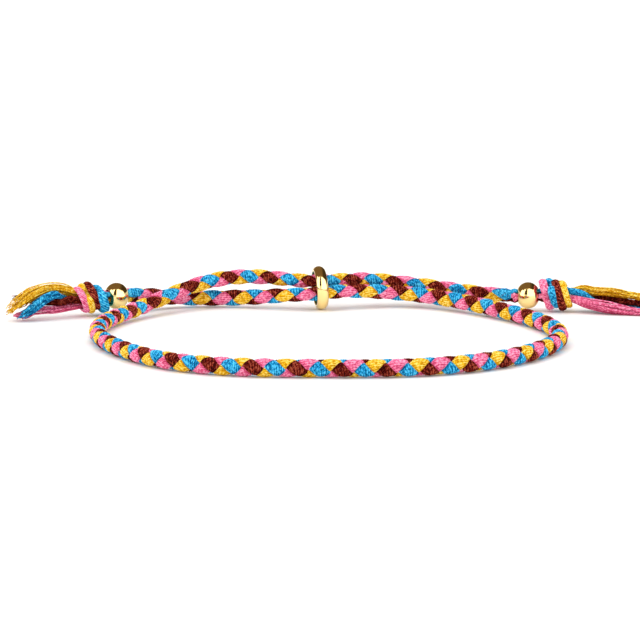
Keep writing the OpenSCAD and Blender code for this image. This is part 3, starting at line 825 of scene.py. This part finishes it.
        joined = net.add("GeometryNodeJoinGeometry")
        net.tree.links.new(locks, joined.inputs[0])
        net.tree.links.new(braid, joined.inputs[0])
        smooth = net.add("GeometryNodeSetShadeSmooth", {}, {"Geometry": joined.outputs[0]}).outputs[0]
        real = net.add("GeometryNodeRealizeInstances", {}, {"Geometry": smooth}).outputs[0]
        dressed = net.add("GeometryNodeSetMaterial", {}, {"Geometry": real, "Material": source["Material"]})
        net.add("NodeGroupOutput", {}, {0: dressed.outputs[0]})

    def apply(self, piece: bpy.types.Object, values: dict[str, Any]) -> None:
        """Runs the tree on a piece and leaves a plain mesh.

        Args:
            piece: The object that holds the guides.
            values: The tree's inputs by name.
        """
        modifier = piece.modifiers.new("plied_yarns", "NODES")
        modifier.node_group = self.group
        for item in self.group.interface.items_tree:
            if item.item_type == "SOCKET" and item.in_out == "INPUT" and item.name in values:
                modifier[item.identifier] = values[item.name]
        graph = bpy.context.evaluated_depsgraph_get()
        mesh = bpy.data.meshes.new_from_object(piece.evaluated_get(graph), preserve_all_data_layers=True,
                                               depsgraph=graph)
        piece.modifiers.remove(modifier)
        piece.data = mesh


@dataclass(frozen=True)
class Floss:
    """Silky cotton floss of one colour."""

    name: str
    colour: tuple[float, float, float]
    # Dark end of the colour ramp: painted shade as well as dark dye and flecks
    shade_and_dark_dye: tuple[float, float, float]
    # Pale end of the colour ramp: painted highlight as well as pale dye and flecks
    highlight_and_pale_dye: tuple[float, float, float]
    ply_length: float = 0.84
    roughness: float = 0.55
    dye_scale: float = 900.0
    fleck_scale: float = 2800.0
    fibre_scale: float = 9000.0

    def material(self) -> bpy.types.Material:
        """Makes the material: plies that wind round each yarn, uneven dye, and painted shade and highlight.
        """
        material, net = new_material(self.name)
        ring = net.add("ShaderNodeAttribute", {"attribute_name": "ring"})
        parts = net.add("ShaderNodeSeparateXYZ", {}, {0: ring.outputs["Vector"]})
        cosine, sine = Value(net, parts.outputs[0]), Value(net, parts.outputs[1])
        along = net.value("ShaderNodeAttribute", {"attribute_name": "along"}, {}, "Fac")
        phase = along * (math.tau / (self.ply_length * MM))
        ply = sine * phase.math("COSINE") + cosine * phase.math("SINE")
        groove = 0.5 + 0.5 * (2.0 * (ply * ply) - 1.0)
        place = net.add("ShaderNodeTexCoord").outputs["Object"]
        dye = net.noise(place, self.dye_scale, 3.0)
        fibre = net.noise(place, self.fibre_scale, 2.0)
        fleck = net.noise(place, self.fleck_scale, 1.0)
        # Painted shade: depth darkens yarns that lie low in the bundle or at a cell's edge, and the lower
        # threads of each lock
        depth = net.value("ShaderNodeAttribute", {"attribute_name": "depth"}, {}, "Fac")
        edge = depth.math("MINIMUM", 0.4)
        # Painted shade and highlight: the ply groove darkens the colour between plies and lightens the
        # plies; dye and flecks add random lighter and darker patches
        shade_and_tone = 0.42 + 0.38 * edge + 0.6 * (dye - 0.5) + 0.9 * (groove - 0.5) + 2.6 * (fleck - 0.5)
        shade_and_tone = shade_and_tone.math("MAXIMUM", 0.0).math("MINIMUM", 1.0)
        # The ramp runs from the dark end (painted shade and dark dye) through the floss's colour to the pale
        # end (painted highlight and pale dye)
        colour = net.add("ShaderNodeValToRGB", {"stops": (
            (0.0, (*self.shade_and_dark_dye, 1)), (0.55, (*self.colour, 1)), (1.0, (*self.highlight_and_pale_dye, 1)))}, {0: shade_and_tone})
        height = groove * 0.7 + fibre * 0.5
        bump = net.add("ShaderNodeBump", {}, {"Strength": 0.8, "Distance": 0.00008, "Height": height})
        rough = self.roughness + 0.2 * (fibre - 0.5)
        shader = net.add("ShaderNodeBsdfPrincipled", {}, {
            "Base Color": colour.outputs[0], "Roughness": rough, "Normal": bump.outputs[0],
            "Specular IOR Level": 0.04})
        net.finish(shader)
        return material


@dataclass(frozen=True)
class Plating:
    """Polished gold plating."""

    name: str
    colour: tuple[float, float, float]
    worn: tuple[float, float, float]
    roughness: float = 0.09
    smear_scale: float = 700.0
    hair_scale: float = 5000.0

    def material(self) -> bpy.types.Material:
        """Makes the material: a mirror with faint smears and hairline marks."""
        material, net = new_material(self.name)
        place = net.add("ShaderNodeTexCoord").outputs["Object"]
        smear = net.noise(place, self.smear_scale, 3.0)
        hair = net.noise(place, self.hair_scale, 2.0)
        bump = net.add("ShaderNodeBump", {}, {"Strength": 0.12, "Distance": 0.00002, "Height": hair})
        shader = net.add("ShaderNodeBsdfPrincipled", {}, {
            "Base Color": net.mixed(smear, self.colour, self.worn), "Metallic": 1.0,
            "Normal": bump.outputs[0], "Roughness": self.roughness + 0.1 * (smear - 0.5)})
        net.finish(shader)
        return material


@dataclass
class GoldPiece:
    """A turned gold piece with a domed outside, rounded edges and a straight hole."""

    name: str
    outer_d: float
    hole_d: float
    width: float
    edge_d: float
    around: int = 128
    rounding: float = 0.12

    def profile(self) -> list[tuple[float, float]]:
        """Closed outline of the section, as places along the axis and distances from it."""
        dome = ((self.outer_d - self.edge_d) ** 2 / 4 + self.width ** 2 / 4) / (self.outer_d - self.edge_d)
        middle = self.outer_d / 2 - dome
        hole = self.hole_d / 2
        top = min(self.width / 2, math.sqrt(max(dome ** 2 - (hole - middle) ** 2, 0)))
        reach = math.asin(min(top / dome, 1.0))
        points = [(dome * math.sin(a), middle + dome * math.cos(a)) for a in np.linspace(-reach, reach, 40)]
        end_r = points[-1][1]
        inner: list[tuple[float, float]] = []
        if end_r - hole > 2 * self.rounding:
            turn = np.linspace(0, math.pi / 2, 6)
            inner += [(top, r) for r in np.linspace(end_r, hole + self.rounding, 5)[1:]]
            inner += [(top - self.rounding * (1 - math.cos(a)), hole + self.rounding * (1 - math.sin(a)))
                      for a in turn[1:]]
        else:
            inner.append((top * 0.985, hole))
        mirrored = [(-x, r) for x, r in reversed(inner)]
        bore = [(x, hole) for x in np.linspace(0.7, -0.7, 8) * (top - self.rounding)]
        return points + inner + bore + mirrored

    def build(self, place: np.ndarray, axis: np.ndarray, node: str,
              material: bpy.types.Material) -> bpy.types.Object:
        """Turns the profile and puts the piece in the frame.

        Args:
            place: Middle of the piece.
            axis: Direction of its hole.
            node: The solid that it replaces.
            material: Its finish.

        Returns:
            The finished piece.
        """
        outline = self.profile()
        side = unit(np.cross(np.array([0, 0, 1.0]), axis))
        up = np.cross(axis, side)
        angles = np.arange(self.around) * math.tau / self.around
        ring = np.cos(angles)[:, None] * side + np.sin(angles)[:, None] * up
        points = np.vstack([place + x * axis + r * ring for x, r in outline]) * MM
        n, m = self.around, len(outline)
        faces = [(k * n + i, k * n + (i + 1) % n, ((k + 1) % m) * n + (i + 1) % n, ((k + 1) % m) * n + i)
                 for k in range(m) for i in range(n)]
        mesh = bpy.data.meshes.new(self.name)
        mesh.from_pydata(points.tolist(), [], faces)
        mesh.validate()
        mesh.polygons.foreach_set("use_smooth", [True] * len(mesh.polygons))
        mesh.materials.append(material)
        piece = linked(self.name, mesh)
        orient(piece)
        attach(piece, "root")
        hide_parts(node)
        LOG.info("%s: %d faces", self.name, len(mesh.polygons))
        return piece


def orient(piece: bpy.types.Object) -> None:
    """Turns a closed mesh's faces outwards when its volume comes out negative."""
    mesh = piece.data
    mesh.calc_loop_triangles()
    corners = np.empty(len(mesh.vertices) * 3)
    mesh.vertices.foreach_get("co", corners)
    corners = corners.reshape(-1, 3)
    index = np.empty(len(mesh.loop_triangles) * 3, dtype=np.int64)
    mesh.loop_triangles.foreach_get("vertices", index)
    a, b, c = (corners[index.reshape(-1, 3)[:, k]] for k in range(3))
    if np.einsum("ij,ij->i", a, np.cross(b, c)).sum() < 0:
        mesh.flip_normals()


@dataclass
class Studio:
    """Pale floor, soft lights and the camera at the photograph's angle."""

    lay: Lay = field(default_factory=Lay)
    elevation: float = 9.2
    distance: float = 530.0
    pixels_a_mm: float = 6.72

    def floor(self) -> None:
        """Lays the pale floor."""
        material, net = new_material("pale_floor")
        place = net.add("ShaderNodeTexCoord").outputs["Object"]
        grain = net.noise(place, 40.0, 2.0)
        shader = net.add("ShaderNodeBsdfPrincipled", {}, {
            "Base Color": net.mixed(grain, (0.93, 0.93, 0.92), (0.95, 0.95, 0.94)), "Roughness": 0.6,
            "Specular IOR Level": 0.15})
        net.finish(shader)
        mesh = bpy.data.meshes.new("floor")
        mesh.from_pydata([(-3, -3, 0), (3, -3, 0), (3, 6, 0), (-3, 6, 0)], [], [(0, 1, 2, 3)])
        mesh.materials.append(material)
        linked("floor", mesh)

    def lights(self) -> None:
        """Sets the world and the soft boxes."""
        world = bpy.data.worlds.new("studio")
        bpy.context.scene.world = world
        world.use_nodes = True
        net = Net(world.node_tree)
        back = net.add("ShaderNodeBackground", {}, {"Color": (1, 1, 1, 1), "Strength": 0.84})
        net.add("ShaderNodeOutputWorld", {}, {0: back.outputs[0]})
        for name, place, turn, size, power in (
                ("key", (-0.5, -0.35, 0.55), (45, 0, -55), 0.5, 2.2),
                ("fill", (0.6, -0.3, 0.4), (55, 0, 62), 0.5, 1.2),
                ("top", (0.0, 0.1, 0.8), (0, 0, 0), 0.5, 1.5),
                ("back", (0.0, 1.1, 0.8), (0, 0, 0), 1.0, 4.0)):
            lamp = bpy.data.lights.new(name, "AREA")
            lamp.size = size
            lamp.energy = power
            item = linked(name, lamp)
            item.location = place
            item.rotation_euler = [math.radians(a) for a in turn]
            item.visible_glossy = False

    def card(self, name: str, corners: Sequence[tuple[float, float, float]],
             colour: tuple[float, float, float], strength: float) -> None:
        """Hangs a card that is seen only in the polished metal, where its glow paints a reflection; it
        lights nothing.

        Args:
            name: Plain name of the card.
            corners: Its four corners, in metres.
            colour: Its colour.
            strength: How brightly it glows.
        """
        material, net = new_material(name)
        glow = net.add("ShaderNodeEmission", {}, {"Color": (*colour, 1), "Strength": strength})
        net.finish(glow)
        mesh = bpy.data.meshes.new(name)
        mesh.from_pydata(corners, [], [(0, 1, 2, 3)])
        mesh.materials.append(material)
        item = linked(name, mesh)
        for ray in ("camera", "diffuse", "shadow", "transmission", "volume_scatter"):
            setattr(item, f"visible_{ray}", False)

    def cards(self) -> None:
        """Hangs the cards that paint the gold's reflections: a brown ceiling and its edge, two bright
        windows and a dark strip between them.
        """
        # Painted reflection: the brown cards paint the gold's dark cap, the white ones its highlights and
        # the dark card the line between them
        brown, edge, white, dark = (0.19, 0.12, 0.06), (0.5, 0.34, 0.16), (1, 0.98, 0.94), (0.16, 0.1, 0.05)
        for name, (x0, x1), (y0, y1), colour, strength in (
                ("painted_reflection_brown_ceiling", (-2, 0.2), (-0.15, 3), brown, 1.0),
                ("painted_reflection_dim_ceiling", (0.2, 0.32), (-0.15, 3), brown, 0.6),
                ("painted_reflection_dark_ceiling", (0.32, 2), (-0.15, 3), brown, 0.3),
                ("painted_reflection_ceiling_edge", (-2, 2), (-0.22, -0.15), edge, 0.7)):
            self.card(name, [(x0, y0, 0.6), (x1, y0, 0.6), (x1, y1, 0.6), (x0, y1, 0.6)], colour, strength)
        for name, (x0, y0), (x1, y1), low, colour, strength in (
                ("painted_reflection_left_window", (-0.7, 0), (-0.46, -0.53), 0, white, 2.6),
                ("painted_reflection_right_window", (-0.1, -0.69), (0.69, -0.1), 0, white, 2.6),
                ("painted_reflection_dark_strip", (-0.46, -0.5), (-0.09, -0.6), 0.16, dark, 0.6)):
            self.card(name, [(x0, y0, low), (x1, y1, low), (x1, y1, 1.3), (x0, y0, 1.3)], colour, strength)

    def camera(self) -> None:
        """Sets the camera as fitted to the photograph."""
        lens = bpy.data.cameras.new("camera")
        lens.sensor_fit = "HORIZONTAL"
        lens.sensor_width = 36.0
        lens.lens = self.pixels_a_mm * self.distance / PICTURE_WIDTH * lens.sensor_width
        lens.clip_start = 0.01
        lens.clip_end = 20.0
        item = linked("camera", lens)
        rise = math.radians(self.elevation)
        x, y = self.lay.middle
        back, height = self.distance * math.cos(rise), self.distance * math.sin(rise)
        item.location = (-x * MM, (-y - back) * MM, height * MM)
        item.rotation_euler = (math.pi / 2 - rise, 0, 0)
        bpy.context.scene.camera = item

    def build(self) -> None:
        """Builds the stage."""
        self.floor()
        self.lights()
        self.cards()
        self.camera()
        bpy.context.scene.view_settings.view_transform = "Standard"


# Each floss: its colour, the dark end of its ramp (painted shade and dark dye) and the pale end (painted
# highlight and pale dye)
FLOSS = {
    Colour.BLUE: Floss("floss_blue", (0.012, 0.41, 0.8), (0.002, 0.09, 0.25), (0.15, 0.74, 1.0)),
    Colour.MAROON: Floss("floss_maroon", (0.15, 0.002, 0.0006), (0.03, 0.0005, 0.0004), (0.5, 0.1, 0.05)),
    Colour.YELLOW: Floss("floss_yellow", (1.0, 0.6, 0.01), (0.6, 0.24, 0.002), (1.0, 0.84, 0.25)),
    Colour.PINK: Floss("floss_pink", (1.0, 0.22, 0.42), (0.65, 0.065, 0.16), (1.0, 0.5, 0.66))}
GOLD = Plating("polished_gold", (0.98, 0.76, 0.34), (0.94, 0.7, 0.28))


def main() -> None:
    """Builds the bracelet piece by piece."""
    logging.basicConfig(level=logging.INFO, format="%(name)s %(message)s")
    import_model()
    lay = Lay()
    cord = Cord(lay)
    tree = YarnTree()
    for colour in Colour:
        FlossStrand(cord, colour).build(tree, FLOSS[colour].material())
    gold = GOLD.material()
    lean, yaw = math.radians(lay.ring_lean), math.radians(lay.ring_yaw)
    axis = np.array([math.cos(lean) * math.cos(yaw), math.cos(lean) * math.sin(yaw), math.sin(lean)])
    ring_place = np.array([-lay.middle[0], lay.ring_y - lay.middle[1], lay.ring_z])
    GoldPiece("gold_ring", lay.ring_d, lay.ring_hole, lay.ring_w, lay.ring_d - 0.9).build(
        ring_place, axis, "slider_ring", gold)
    for side in ("left", "right"):
        s = cord.bead[side]
        along, _, _ = cord.frame(s)
        GoldPiece(f"gold_bead_{side}", lay.bead_d, lay.bead_hole, lay.bead_l, 0.0).build(
            cord.at(s), along, f"bead_{side}", gold)
    Studio(lay).build()
    LOG.info("bracelet built")


if __name__ == "__main__":
    main()
